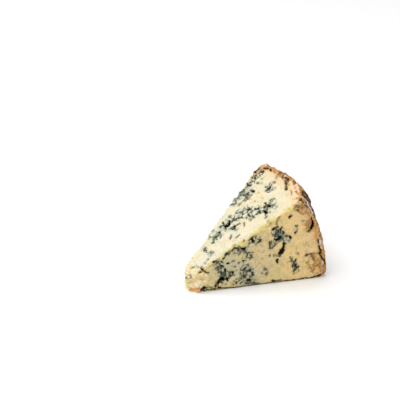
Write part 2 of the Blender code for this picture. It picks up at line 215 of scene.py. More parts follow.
    (235.8, 237.4, 236.4, 236.8, 0.9, 0.8, 0.6), (236.6, 236.6, 238.8, 234.8, 0.7, 0.9, 0.6),
    (243.5, 239.2, 243.3, 240.8, 0.6, 0.8, 0.8), (213.8, 237.4, 216.0, 236.6, 1.1, 0.9, 0.0),
    (216.0, 236.4, 218.8, 235.0, 0.8, 0.9, 0.2), (220.4, 234.0, 220.8, 237.4, 0.6, 0.8, 0.3),
    (218.2, 233.8, 219.4, 233.2, 0.6, 0.7, 0.3), (213.0, 239.4, 213.4, 240.8, 0.8, 0.7, 0.1),
    (212.0, 242.6, 213.4, 242.4, 0.9, 1.0, 0.6), (212.2, 230.4, 213.0, 230.2, 0.8, 0.8, 0.2),
    (203.6, 248.2, 205.8, 249.8, 0.8, 0.8, 0.2), (204.4, 248.2, 205.4, 248.0, 0.8, 0.8, 0.2),
    (210.0, 253.8, 213.4, 252.2, 0.7, 0.65, 0.5), (206.6, 259.8, 208.6, 258.4, 0.7, 0.6, 0.4),
    (204.2, 263.4, 205.4, 262.2, 0.5, 0.4, 0.4), (192.6, 268.0, 193.6, 267.4, 0.8, 0.7, 0.6),
    (190.8, 269.4, 191.8, 269.0, 0.5, 0.5, 0.6), (198.2, 267.4, 198.8, 267.0, 0.7, 0.6, 0.5),
    (196.2, 266.2, 197.4, 265.8, 0.4, 0.4, 0.5), (234.0, 245.4, 235.4, 244.8, 0.7, 0.35, 0.0),
    # up along the back of the upper cut
    (238.6, 205.2, 239.0, 204.4, 0.9, 0.9, 0.6), (239.2, 204.4, 246.0, 199.2, 0.45, 0.6, 0.7),
    (246.6, 198.6, 247.4, 196.4, 0.9, 0.8, 0.7), (234.0, 204.2, 236.2, 203.2, 0.5, 0.8, 0.5),
    (236.2, 203.4, 236.0, 201.4, 0.7, 0.7, 0.4), (230.4, 204.6, 231.6, 203.8, 0.7, 0.5, 0.6),
    (238.0, 193.4, 238.6, 192.8, 0.9, 1.2, 0.1), (240.8, 192.4, 243.6, 191.8, 0.6, 0.9, 0.1),
    (244.0, 195.4, 245.8, 194.4, 0.8, 0.9, 0.3), (246.8, 193.6, 248.2, 192.8, 0.9, 0.9, 0.2),
    (251.4, 191.0, 253.8, 191.4, 1.1, 1.1, 0.4), (250.6, 190.4, 251.8, 189.8, 0.7, 0.9, 0.4),
    (246.8, 183.2, 247.4, 185.0, 1.1, 1.2, 0.3), (249.0, 185.4, 250.8, 185.0, 0.7, 1.0, 0.4),
    (246.0, 187.4, 246.6, 186.2, 0.8, 0.8, 0.2), (249.4, 182.4, 252.4, 180.6, 0.8, 0.8, 0.0),
    (254.8, 177.4, 255.8, 178.4, 1.0, 1.0, 0.4), (253.6, 176.6, 254.6, 176.8, 0.6, 0.8, 0.3),
    (257.4, 183.4, 258.6, 183.0, 0.8, 0.7, 0.5), (261.4, 179.2, 262.4, 179.0, 0.7, 0.5, 0.3),
    (261.2, 183.6, 262.2, 183.4, 0.5, 0.35, 0.3), (259.4, 174.2, 259.4, 176.0, 0.6, 0.7, 0.6),
    (261.4, 171.6, 263.4, 171.0, 0.9, 1.0, 0.6), (264.2, 168.4, 268.4, 167.8, 0.8, 1.1, 0.8),
    (270.2, 169.2, 270.6, 170.2, 0.8, 1.1, 0.8), (260.6, 169.6, 262.0, 169.0, 0.6, 0.6, 0.7),
    # the small star high on the upper cut
    (271.6, 184.4, 270.4, 186.8, 0.6, 0.8, 0.1), (270.2, 187.0, 268.8, 189.2, 0.9, 1.0, 0.1),
    (268.6, 189.6, 266.0, 191.0, 0.8, 0.9, 0.1), (265.6, 187.0, 267.8, 186.8, 0.7, 0.8, 0.4),
    (270.6, 189.2, 272.8, 189.8, 0.6, 0.7, 0.2), (274.4, 188.0, 275.4, 187.2, 0.6, 0.45, 0.2),
    (272.6, 182.6, 274.6, 182.0, 0.8, 0.7, 0.6), (273.8, 181.8, 274.8, 182.0, 0.5, 0.5, 0.6),
    # purple-brown growth and a hole where the upper cut meets the rind
    (285.6, 177.2, 287.8, 179.4, 1.0, 0.9, 0.7), (284.8, 181.6, 286.0, 184.0, 1.0, 0.9, 0.8),
    (286.2, 184.0, 286.3, 188.0, 0.8, 0.8, 0.9), (285.6, 189.2, 286.8, 189.4, 1.0, 1.4, 0.7),
    (276.8, 175.8, 275.8, 178.0, 0.6, 0.5, 1.0), (291.2, 190.4, 291.5, 193.8, 0.5, 0.6, 1.0),
    (295.0, 184.4, 295.6, 184.8, 0.9, 0.6, 0.9), (299.6, 187.6, 302.8, 187.6, 0.7, 0.7, 1.0),
    # dark crust at the ridge's end and down the front's edge, and at the bottom right corner the end of
    # the dark line along the bottom edge, partly mould and partly painted contact shadow
    (300.0, 199.0, 301.4, 199.8, 1.2, 1.3, 0.9), (302.4, 201.6, 303.2, 202.4, 0.7, 0.7, 0.9),
    (305.0, 205.0, 306.0, 206.6, 0.8, 0.75, 0.9), (297.0, 205.6, 298.2, 206.4, 1.5, 0.45, 1.0),
    (296.6, 210.4, 298.0, 210.2, 0.9, 0.7, 1.0), (314.0, 212.0, 314.4, 215.6, 0.8, 0.8, 0.9),
    (318.0, 240.2, 318.4, 242.4, 1.0, 1.2, 0.9), (318.8, 245.8, 320.0, 249.6, 0.8, 1.0, 0.9),
    (320.4, 250.2, 319.8, 253.4, 1.2, 1.2, 0.9), (320.6, 255.4, 322.8, 259.4, 0.8, 0.9, 0.9),
    (323.6, 259.0, 325.0, 264.0, 0.8, 1.0, 0.9), (320.4, 234.2, 320.6, 236.6, 0.8, 0.7, 0.9),
    (256.8, 169.0, 254.4, 171.0, 1.1, 1.1, 0.9), (259.0, 166.4, 257.6, 167.6, 0.9, 1.0, 0.8),
    (262.0, 163.6, 263.2, 164.2, 0.8, 0.7, 0.9), (279.4, 172.0, 280.6, 172.6, 1.0, 0.8, 0.9),
    (283.2, 173.8, 283.8, 175.2, 0.8, 0.7, 0.9), (314.0, 277.4, 321.6, 275.4, 1.0, 1.0, 0.9),
)

# Soft colours in and on the cheese: also how strong each is, at most 1
NETWORK = (
    (241.0, 190.0, 246.0, 196.0, 6.0, 1.0), (233.0, 203.0, 239.0, 197.0, 4.0, 0.9),
    (256.0, 176.0, 249.0, 184.0, 3.5, 0.7), (264.0, 169.5, 260.0, 174.0, 3.0, 0.7),
    (240.0, 214.0, 250.0, 210.0, 5.5, 0.7), (250.0, 215.0, 260.0, 210.0, 5.0, 0.75),
    (267.0, 204.0, 265.0, 212.0, 3.5, 0.8), (273.0, 201.0, 272.0, 208.0, 3.5, 0.5),
    (229.0, 221.0, 236.0, 219.0, 4.0, 0.9), (222.0, 227.0, 234.0, 227.0, 4.0, 0.8),
    (212.0, 237.0, 219.0, 234.0, 4.5, 1.0), (204.0, 249.0, 211.0, 253.0, 3.0, 0.5),
    (270.0, 186.0, 267.0, 190.0, 3.5, 0.6), (275.5, 233.0, 283.0, 237.0, 5.5, 0.4),
    (272.0, 244.0, 275.0, 242.0, 4.0, 0.4), (293.0, 260.0, 296.0, 268.0, 3.0, 0.5),
    (252.0, 240.0, 259.0, 240.0, 4.0, 0.8), (226.0, 254.0, 242.0, 249.0, 3.0, 0.6),
    (243.0, 250.0, 251.0, 257.0, 3.5, 0.6), (217.0, 263.0, 222.0, 272.0, 4.5, 1.0),
    (222.0, 275.0, 231.0, 274.0, 4.5, 1.0), (246.0, 269.0, 247.0, 277.0, 6.0, 1.0),
    (236.0, 281.0, 257.0, 282.0, 3.0, 0.7), (218.0, 284.0, 222.0, 280.0, 3.5, 0.8),
    (265.0, 269.0, 266.0, 274.0, 2.5, 0.4), (203.0, 288.0, 214.0, 289.0, 2.5, 0.7),
)
HAZE = (
    (279.0, 234.0, 279.5, 235.0, 8.0, 0.9), (286.5, 239.5, 286.6, 240.0, 5.0, 1.0),
    (272.6, 245.0, 273.0, 244.0, 4.0, 0.6), (294.0, 262.0, 294.5, 267.0, 4.0, 0.8),
    (265.5, 269.0, 265.6, 273.0, 3.5, 0.5), (251.0, 240.5, 259.0, 240.5, 4.5, 0.6),
    (226.0, 253.0, 248.0, 250.0, 4.5, 0.6), (248.0, 252.0, 249.0, 257.0, 4.5, 0.6),
    (219.0, 264.0, 224.0, 270.0, 7.0, 0.9), (222.0, 274.0, 230.0, 274.0, 5.5, 0.8),
    (247.0, 270.0, 247.5, 276.0, 7.5, 1.0), (238.0, 282.0, 256.0, 283.0, 4.5, 0.7),
    (222.0, 262.0, 248.0, 272.0, 16.0, 0.6), (240.0, 192.0, 247.0, 193.0, 7.0, 1.0),
    (233.0, 204.0, 238.0, 198.0, 5.0, 1.0), (256.0, 176.0, 247.0, 187.0, 5.5, 0.7),
    (240.0, 214.0, 258.0, 211.0, 7.5, 0.8), (271.5, 202.0, 273.0, 209.0, 6.0, 0.7),
    (267.0, 216.0, 267.5, 216.0, 4.0, 0.5), (226.0, 218.0, 238.0, 218.0, 6.0, 0.7),
    (220.0, 228.0, 234.0, 230.0, 6.0, 0.8), (213.0, 239.0, 219.0, 232.0, 6.5, 1.0),
    (268.0, 188.0, 270.0, 187.0, 6.0, 0.6), (204.0, 249.0, 212.0, 256.0, 5.0, 0.6),
    (193.0, 267.0, 207.0, 260.0, 4.5, 0.4), (263.0, 171.0, 260.0, 174.0, 5.0, 0.5),
    (243.0, 206.0, 244.0, 206.0, 6.0, 0.4), (298.0, 204.0, 300.0, 204.0, 2.0, 0.2),
)
TEAL = (
    (279.5, 232.0, 279.0, 238.0, 5.0, 1.0), (240.0, 194.0, 243.0, 192.0, 4.5, 0.7),
    (235.0, 200.0, 238.0, 197.0, 2.8, 0.8), (286.0, 239.0, 286.2, 239.2, 3.2, 0.35),
    (294.0, 262.5, 294.6, 266.5, 2.2, 0.6), (223.0, 273.5, 224.0, 276.0, 3.4, 0.85),
    (214.0, 237.0, 218.0, 233.0, 2.8, 0.5), (247.0, 190.0, 247.5, 187.0, 2.6, 0.5),
    (252.5, 273.0, 252.8, 275.0, 2.2, 0.6), (257.0, 239.0, 257.4, 240.0, 2.0, 0.3),
    (229.5, 222.0, 227.0, 224.0, 3.0, 0.4),
)
# Brown stains, and brown painted shade in the hollow under the ridge's end and in the hollow beside the deep
# crevice by the rind
STAIN_AND_SHADE = (
    (311.0, 256.0, 318.0, 262.0, 5.0, 1.0), (310.0, 264.0, 317.0, 270.0, 7.5, 0.65),
    (314.5, 266.8, 320.5, 263.6, 1.8, 0.9), (306.0, 255.0, 315.0, 254.0, 3.5, 0.7),
    (311.5, 220.0, 309.5, 229.0, 4.0, 0.8), (284.0, 247.0, 279.5, 255.0, 2.8, 0.7),
    (296.0, 207.0, 306.0, 212.0, 5.5, 0.9), (274.0, 256.0, 284.0, 256.0, 2.0, 0.4),
    (318.0, 266.0, 317.0, 272.0, 3.5, 0.7), (299.0, 203.0, 305.0, 206.0, 5.0, 0.7),
    (302.0, 208.0, 309.0, 214.0, 4.0, 0.5), (307.0, 222.0, 309.0, 229.0, 5.0, 0.55),
    (310.5, 269.0, 310.5, 269.8, 1.3, 0.9), (304.0, 230.0, 309.0, 240.0, 5.0, 0.3),
    (208.6, 285.0, 208.6, 285.2, 2.4, 0.7), (201.0, 277.0, 204.0, 283.0, 3.5, 0.35),
    (255.1, 261.8, 255.2, 262.2, 1.4, 0.8), (262.4, 258.8, 262.4, 259.0, 1.2, 0.9),
    (286.0, 178.0, 289.0, 184.0, 3.0, 0.8), (296.5, 198.5, 301.0, 196.5, 1.6, 0.8),
    (272.0, 169.5, 281.0, 174.5, 2.5, 0.5), (266.0, 167.5, 262.0, 170.0, 3.5, 0.6),
    (285.6, 178.0, 286.4, 189.0, 2.4, 0.8), (297.0, 206.0, 299.0, 210.0, 3.0, 0.5),
)
GOLD = (
    (187.5, 281.0, 188.0, 284.0, 3.0, 1.0), (191.0, 276.0, 193.0, 279.0, 2.5, 0.6),
    (206.0, 285.5, 212.0, 287.0, 2.5, 0.7), (228.3, 284.0, 229.0, 286.0, 2.2, 0.7),
    (234.6, 279.0, 235.4, 280.0, 2.4, 0.6), (240.0, 246.5, 250.0, 237.0, 1.8, 0.7),
    (252.0, 234.0, 272.0, 218.0, 1.6, 0.6), (268.0, 278.0, 276.0, 276.0, 3.5, 0.5),
    (282.0, 268.0, 286.0, 274.0, 3.5, 0.4), (298.0, 195.0, 290.0, 202.0, 2.2, 0.5),
    (288.0, 182.0, 289.0, 190.0, 1.6, 0.6), (306.0, 262.0, 308.0, 274.0, 3.0, 0.5),
    (274.0, 225.0, 270.0, 232.0, 2.5, 0.4), (224.0, 256.0, 232.0, 250.0, 1.6, 0.6),
    (214.0, 275.0, 217.0, 279.0, 3.0, 0.5), (236.0, 258.0, 241.0, 256.0, 2.5, 0.5),
)
ORANGE = (
    (271.0, 167.0, 277.5, 170.5, 1.8, 0.9), (280.5, 171.0, 283.0, 173.0, 1.3, 0.7),
    (292.0, 182.5, 295.5, 187.5, 1.7, 0.8), (296.5, 188.0, 300.5, 194.5, 1.6, 0.8),
    (293.0, 199.0, 301.5, 198.5, 1.5, 0.6), (314.0, 220.0, 315.4, 229.0, 1.6, 1.0),
    (316.2, 231.5, 317.6, 238.0, 1.5, 1.0), (321.5, 248.5, 325.2, 259.0, 1.6, 1.0),
    (324.4, 261.0, 325.0, 272.0, 1.0, 0.8), (263.5, 164.0, 267.5, 165.6, 1.2, 0.7),
    (289.5, 178.0, 290.5, 180.0, 1.0, 0.5), (191.0, 289.0, 199.5, 289.6, 2.6, 1.0),
    (306.0, 206.0, 300.0, 201.0, 2.5, 0.4), (258.7, 192.6, 259.0, 192.8, 1.3, 0.8),
    (262.3, 198.1, 262.6, 198.3, 1.4, 0.8), (254.4, 201.4, 254.6, 201.5, 1.1, 0.8),
)
PINK = (
    (266.0, 165.4, 269.0, 166.4, 1.1, 0.7), (283.6, 174.5, 287.0, 177.0, 1.4, 0.8),
    (290.5, 183.5, 294.0, 190.0, 2.6, 0.9), (296.0, 185.5, 299.0, 191.0, 2.2, 0.8),
    (290.5, 193.0, 296.5, 195.0, 2.6, 0.8), (291.0, 205.0, 296.0, 203.0, 2.4, 0.7),
    (305.0, 209.0, 306.0, 210.4, 1.4, 0.6), (193.0, 284.0, 196.0, 281.0, 2.4, 0.7),
    (200.0, 276.5, 205.0, 281.0, 2.6, 0.6), (209.0, 244.0, 206.0, 245.5, 1.8, 0.4),
    (317.0, 240.0, 317.2, 243.0, 0.9, 0.5), (311.0, 231.0, 313.0, 236.0, 1.4, 0.4),
    (250.0, 200.0, 256.0, 197.0, 3.0, 0.3),
)
WHITE = (
    (302.4, 196.6, 306.8, 202.0, 0.5, 0.9), (306.8, 202.0, 310.4, 208.4, 0.6, 1.0),
    (310.8, 209.0, 312.6, 213.4, 1.1, 0.75), (320.2, 240.4, 320.6, 244.0, 0.9, 0.8),
    (321.0, 246.6, 322.2, 249.0, 0.8, 0.7), (322.6, 261.0, 321.0, 267.0, 1.1, 0.9),
    (320.8, 267.5, 319.8, 273.5, 1.0, 0.8), (318.8, 236.0, 319.2, 238.6, 0.7, 0.6),
)
SOFT_COLOURS = {
    "network": NETWORK,
    "haze": HAZE,
    "teal": TEAL,
    "stain_and_shade": STAIN_AND_SHADE,
    "gold": GOLD,
    "orange": ORANGE,
    "pink": PINK,
    "white": WHITE,
}

# Dark crust on the rind: degrees above the floor, mm behind the front cut, radius in mm, how strong
DARK_CRUST = (
    (31.5, 2.5, 5.0, 1.0), (28.0, 2.0, 4.5, 1.0), (30.0, 8.0, 6.0, 0.6), (9.0, 46.0, 8.0, 0.55),
    (18.0, 28.0, 7.0, 0.45), (24.0, 57.0, 7.0, 0.5), (5.0, 12.0, 7.0, 0.45), (14.0, 5.0, 6.0, 0.5),
)

# Where the rind bulges, and where it is flatter
SWOLLEN = ((288.0, 174.0, 300.0, 186.0, 5.0, 0.7), (302.0, 188.0, 309.0, 200.0, 5.0, 1.0))
SUNKEN = ((318.0, 220.0, 323.0, 245.0, 6.0, 0.5),)

# The seams between curds, which the mould follows: how far apart they are, on the front and elsewhere,
# how wavy, and how far they open along their length and where three of them meet
FRONT_CURD = 2.7 * MM
CURD = 4.2 * MM
CURD_WARP = 0.35
SEAM_OPEN = 0.16
CORNER_OPEN = 0.5

# How far inside the mould a place far from all of it counts as, in mm or in pixels
FAR_OUTSIDE = -9.0

# Moist paste shines a little, and dry crust and powdery mould are matt
MOIST_SHEEN, DRY_SHEEN = 0.3, 0.06
MOIST_ROUGHNESS, DRY_ROUGHNESS = 0.58, 0.88

# The floor and the light
FLOOR_HALF = 3.0
LAMP_PLACE = (-0.4, 0.0, 2.0)
LAMP_SIZE = 2.0
LAMP_POWER = 33.0
SURROUNDINGS = 0.58


def smoothstep(low, high, value):
    """A smooth share from 0 at low to 1 at high, for whole arrays. Low may be the larger."""
    share = np.clip((value - low) / (high - low), 0.0, 1.0)
    return share * share * (3.0 - 2.0 * share)


def noise_at(points, size, shift=0.0):
    """Smooth noise at each point, from about -1 to 1, with features about this large."""
    return np.array([noise.noise(place) for place in (points / size + shift).tolist()])


def depth_under(points, cut):
    """How deep each point lies under one of the cuts."""
    start, outward = CUTS[cut]
    return (np.array(start) - points) @ np.array(outward)


def side_radius(behind):
    """The barrel side's distance from the wheel's axis, so far behind the front cut."""
    return WHEEL_RADIUS - SIDE_ARC + np.sqrt(SIDE_ARC**2 - (behind - FULLEST_AT) ** 2)


def rind_depth(points):
    """How deep each point lies under the wheel's own skin."""
    under_side = side_radius(points[:, 1]) - np.hypot(points[:, 0], points[:, 2])
    return np.minimum(under_side, FLAT_AT - points[:, 1])


def wheel_profile():
    """Half of the wheel's outline, from the axis before the cut round to the axis at its flat."""
    shoulder_at = FLAT_AT - SHOULDER
    inner = side_radius(shoulder_at) - SHOULDER
    points = [(0.0, -BEFORE_CUT)]
    for behind in np.linspace(-BEFORE_CUT, shoulder_at, SIDE_STEPS + 1):
        points.append((side_radius(behind), behind))
    for turn in np.linspace(0.0, math.pi / 2, SHOULDER_STEPS + 1)[1:]:
        points.append((inner + SHOULDER * math.cos(turn), shoulder_at + SHOULDER * math.sin(turn)))
    points.append((0.0, FLAT_AT))
    return points


def cut_wedge():
    """A bmesh of the wedge with flat cuts: the wheel is spun from its profile and then cut."""
    shape = bmesh.new()
    ring = [shape.verts.new((radius, behind, 0.0)) for radius, behind in wheel_profile()]
    line = [shape.edges.new(pair) for pair in zip(ring, ring[1:])]
    bmesh.ops.spin(
        shape, geom=ring + line, cent=Vector(), axis=AXIS, angle=2 * math.pi,
        steps=TURN_STEPS, use_merge=True,
    )
    bmesh.ops.remove_doubles(shape, verts=shape.verts, dist=0.01 * MM)
    for point, outward in CUTS.values():
        whole = shape.verts[:] + shape.edges[:] + shape.faces[:]
        cut = bmesh.ops.bisect_plane(
            shape, geom=whole, plane_co=point, plane_no=outward, clear_outer=True, dist=0.001 * MM
        )
        rim = [item for item in cut["geom_cut"] if isinstance(item, bmesh.types.BMEdge)]
        bmesh.ops.triangle_fill(shape, edges=rim, use_beauty=True)
    bmesh.ops.recalc_face_normals(shape, faces=shape.faces)
    return shape


def even_skin(shape):
    """A new object with an even, fine skin over the cut wedge, its edges worn round."""
    mesh = bpy.data.meshes.new("cheese")
    shape.to_mesh(mesh)
    shape.free()
    cheese = bpy.data.objects.new("cheese", mesh)
    bpy.context.scene.collection.objects.link(cheese)
    remesh = cheese.modifiers.new("even skin", "REMESH")
    remesh.mode = "VOXEL"
    remesh.voxel_size = SKIN_STEP
    worn = cheese.modifiers.new("worn edges", "SMOOTH")
    worn.factor = 0.5
    worn.iterations = EDGE_ROUNDS
    graph = bpy.context.evaluated_depsgraph_get()
    cheese.data = bpy.data.meshes.new_from_object(cheese.evaluated_get(graph))
    cheese.modifiers.clear()
    return cheese


def read(what, name):
    """The vectors of a mesh's points as an array with a row for each."""
    values = np.zeros(3 * len(what), np.float32)
    what.foreach_get(name, values)
    return values.reshape(-1, 3).astype(float)


def in_photo(points):
    """Where each point is seen in the photograph, in pixels from its left and its top."""
    seen = points - np.array(CAMERA_PLACE)
    focal = PHOTO_SIDE * CAMERA_LENS / CAMERA_SENSOR
    scale = focal / -(seen @ np.array(CAMERA_BACK))
    right, up = scale * (seen @ np.array(CAMERA_RIGHT)), scale * (seen @ np.array(CAMERA_UP))
    return np.stack([PHOTO_SIDE / 2 + right, PHOTO_SIDE / 2 - up], axis=1)


def away_from(places, start_x, start_y, end_x, end_y):
    """How many pixels each place lies away from a stroke's line."""
    start, along = np.array((start_x, start_y)), np.array((end_x - start_x, end_y - start_y))
    share = np.clip((places - start) @ along / max(along @ along, 0.01), 0.0, 1.0)
    return np.linalg.norm(places - start - share[:, None] * along, axis=1)


def mould_and_contact_shadow_at(places, ragged):
    """How far inside the strokes of mould and of painted contact shadow each place lies, in mm, how
    dark it is there, and its tone.
    """
    inside = np.full(len(places), FAR_OUTSIDE)
    dark, tone = np.zeros(len(places)), np.zeros(len(places))
    for *line, half_width, darkness, brown in MOULD_AND_CONTACT_SHADOW:
        within = half_width - away_from(places, *line) + 0.5 * half_width * ragged
        nearer = within > inside
        inside[nearer], dark[nearer], tone[nearer] = within[nearer], darkness, brown
    return inside / PIXELS_PER_MM, dark, tone


def spread(places, strokes, ragged):
    """How strong a soft colour's strokes are at each place."""
    strength = np.zeros(len(places))
    for *line, radius, full in strokes:
        reach = away_from(places, *line) / radius + 0.3 * ragged
        strength = np.maximum(strength, full * smoothstep(1.15, 0.4, reach))
    return strength


def dark_crust_at(points, ragged):
    """How strong the dark crust is at each point of the rind."""
    angles = np.degrees(np.arctan2(points[:, 2], points[:, 0]))
    strength = np.zeros(len(points))
    for angle, behind, radius, full in DARK_CRUST:
        up_the_rind = WHEEL_RADIUS * np.radians(angles - angle)
        reach = np.hypot(up_the_rind, points[:, 1] - behind * MM) / (radius * MM) + 0.35 * ragged
        strength = np.maximum(strength, full * smoothstep(1.1, 0.4, reach))
    return strength


def curd_seams(points, size):
    """How far each point lies from the nearest seam between two curds, and from where three meet."""
    warp = np.stack([noise_at(points, 1.4 * size, shift) for shift in (3.1, 17.7, 41.3)], axis=1)
    warp += 0.45 * np.stack([noise_at(points, 0.5 * size, shift) for shift in (5.3, 21.9, 45.7)], axis=1)
    seam, corner = np.zeros(len(points)), np.zeros(len(points))
    for index, place in enumerate((points / size + CURD_WARP * warp).tolist()):
        distances, centres = noise.voronoi(place)
        across = centres[1] - centres[0]
        seam[index] = ((centres[0] + centres[1]) / 2 - Vector(place)).dot(across) / across.length
        corner[index] = distances[2] - distances[0]
    return size * seam, size * corner


def keep(mesh, **values_by_name):
    """Stores a number for each vertex under each name, for the material to read."""
    for name, values in values_by_name.items():
        attribute = mesh.attributes.new(name, "FLOAT", "POINT")
        attribute.data.foreach_set("value", values.astype(np.float32))


def survey(cheese):
    """What the relief and the colours follow: where each point of the skin lies on the wedge
    and in the photograph, and two fine noises that make edges ragged."""
    points = read(cheese.data.vertices, "co")
    normals = read(cheese.data.vertex_normals, "vector")
    depths = np.sort([depth_under(points, cut) for cut in CUTS if cut != "floor"], axis=0)
    under_front, under_upper = depth_under(points, "front"), depth_under(points, "upper")
    upper = smoothstep(-1.5 * MM, 1.5 * MM, under_front - under_upper)
    on_front = (upper < 0.5) & (under_front < 2 * MM)
    coarse, fine = curd_seams(points, CURD), curd_seams(points, FRONT_CURD)
    seam, corner = (np.where(on_front, small, large) for small, large in zip(fine, coarse))
    to_camera = np.array(CAMERA_PLACE) - points
    facing = np.sum(normals * to_camera, axis=1) / np.linalg.norm(to_camera, axis=1)
    sway = np.stack([noise_at(points, 2.2 * MM, shift) for shift in (23.0, 31.0)], axis=1)
    at_tip = np.maximum(
        smoothstep(7.0 * MM, 1.0 * MM, depth_under(points, "tip")),
        smoothstep(5.0 * MM, 1.0 * MM, depth_under(points, "tip side")),
    )
    return SimpleNamespace(
        points=points, normals=normals, from_edge=depths[1], crust=rind_depth(points), upper=upper,
        on_front=on_front, at_tip=at_tip, seam=seam, corner=corner,
        clod=smoothstep(0.0, 1.1 * MM, coarse[0]), shown=smoothstep(-0.05, 0.1, facing),
        places=in_photo(points) + 0.7 * sway,
        ragged=noise_at(points, 1.5 * MM), fraying=noise_at(points, 0.9 * MM, 14.0),
    )


def grow_mould_and_contact_shadow(skin):
    """How far inside the mould and the painted contact shadow along the bottom edge each point lies,
    in mm, how dark it is there, its tone, and how strong each soft colour is. The faces that the
    photograph hides get patches of the same mould."""
    points, shown, ragged, fraying = skin.points, skin.shown, skin.ragged, skin.fraying
    soft = {
        name: shown * spread(skin.places, strokes, ragged)
        for name, strokes in SOFT_COLOURS.items()
    }
    inside, dark, tone = mould_and_contact_shadow_at(skin.places, ragged + 0.6 * fraying)
    inside = np.where(shown > 0.5, inside, FAR_OUTSIDE)

    patches = noise_at(points, 14 * MM, 5.0) + 0.6 * noise_at(points, 5 * MM, 9.0)
    unseen = (1.0 - shown) * smoothstep(2.2 * MM, 3.6 * MM, skin.crust)
    clumps = unseen * smoothstep(0.0, 0.5, patches)

    # Seams between curds open into dark lines where the network or a clump is, most where they meet
    along, corners = np.maximum(soft["network"], 0.9 * clumps), np.maximum(soft["network"], clumps)
    meeting = smoothstep(1.3, 0.2, skin.corner / MM) * np.where(skin.on_front, 0.6, 1.0)
    swelling = noise_at(points, 2.4 * MM, 2.0)
    width = (along * SEAM_OPEN + corners * CORNER_OPEN * meeting) * (1.0 + 1.3 * swelling)
    width += clumps * (0.5 * swelling + 0.5 * fraying - 0.12)
    width = np.where(corners > 0.05, width - skin.seam / MM, FAR_OUTSIDE)
    seams = width > inside
    inside = np.where(seams, width, inside)
    dark = np.where(seams, 0.65 + 0.35 * meeting + 0.2 * ragged, dark)
    tone = np.where(seams, 0.4 + 0.5 * noise_at(points, 6 * MM, 13.0), tone)

    soft["haze"] = np.maximum(soft["haze"], clumps)
    soft["teal"] = np.maximum(soft["teal"], unseen * smoothstep(0.35, 0.8, patches + 0.5 * ragged))
    return inside, dark, tone, soft


def paste_relief(skin, inside, dark, powder):
    """How far the paste stands out of the cut faces."""
    points, at_tip = skin.points, skin.at_tip
    lumps = 0.45 * MM * noise_at(points, 13 * MM) + 0.22 * MM * noise_at(points, 4.0 * MM, 15.0)
    grain = 0.13 * MM * skin.ragged + 0.09 * MM * skin.fraying + 0.2 * MM * powder * skin.fraying

    # Broken places are clods with grooves between them, and the tip stands out a little as a whole
    edge = smoothstep(4.0 * MM, 0.0, skin.from_edge)
    endwise = np.clip(skin.normals @ np.array(CUTS["tip"][1]), 0.0, 1.0)
    crumbs = MM * (0.35 * edge + 0.5 * at_tip) * noise_at(points, 2.8 * MM, 16.0)
    crumbs += MM * (0.35 * edge + 0.7 * at_tip) * (skin.clod - 0.7)
    crumbs += MM * at_tip * (0.35 + 0.5 * endwise)

    # Edges are chipped and nicked
    chips = 1.1 * MM * edge * smoothstep(0.0, 0.6, noise_at(points, 5.0 * MM))
    nicked = smoothstep(2.0 * MM, 0.4 * MM, skin.from_edge)
    chips += 0.7 * MM * nicked * smoothstep(0.05, 0.5, noise_at(points, 2.2 * MM, 27.0))

    # Faint joints between curds, and the paste shrunk back from the lip of the crust
    jointed = smoothstep(-0.3, 0.4, noise_at(points, 9 * MM, 6.0))
    joints = 0.16 * MM * smoothstep(0.6 * MM, 0.0, skin.seam) * jointed
    lip = 0.3 * MM * smoothstep(2.6 * MM, 1.2 * MM, skin.crust)
    shrunk = smoothstep(2.2 * MM, 3.4 * MM, skin.crust) * smoothstep(7 * MM, 4.0 * MM, skin.crust)
    trench = 0.45 * MM * shrunk * (0.5 + noise_at(points, 4 * MM, 1.0))

    pit = PIT_DEPTH * smoothstep(0.0, 0.8, inside) * smoothstep(1.15, 1.55, dark)
    return lumps + grain + crumbs - chips - joints + lip - trench - pit


def crust_relief(skin):
    """How far the crust stands out, how high its folds are, and how deep in a crease each point is."""
    points = skin.points
    folds = 1.0 - 2.4 * np.abs(noise_at(points, CRUST_WRINKLE))
    knobs = noise_at(points, CRUST_WRINKLE / 2.3, 1.0)
    slow = noise_at(points, 3.5 * CRUST_WRINKLE)
    height = 0.55 * folds + 0.45 * knobs + 0.6 * slow - 0.3
    crease = np.maximum(
        smoothstep(0.11, 0.0, np.abs(noise_at(points, 8 * MM, 51.0))),
        0.8 * smoothstep(0.13, 0.0, np.abs(noise_at(points, 3.8 * MM, 57.0))),
    )
    crease *= smoothstep(-0.3, 0.25, noise_at(points, 15 * MM, 61.0) + 0.3 * skin.ragged)
    pebbles = 0.35 * MM * noise_at(points, 2.6 * MM, 18.0)
    sand = 0.12 * MM * noise_at(points, 1.1 * MM, 4.0)
    swollen = BULGE * (spread(skin.places, SWOLLEN, 0.0) - spread(skin.places, SUNKEN, 0.0))
    relief = CRUST_RELIEF * height + pebbles + sand - MOULD_DEPTH * crease + swollen
    return relief, height, crease


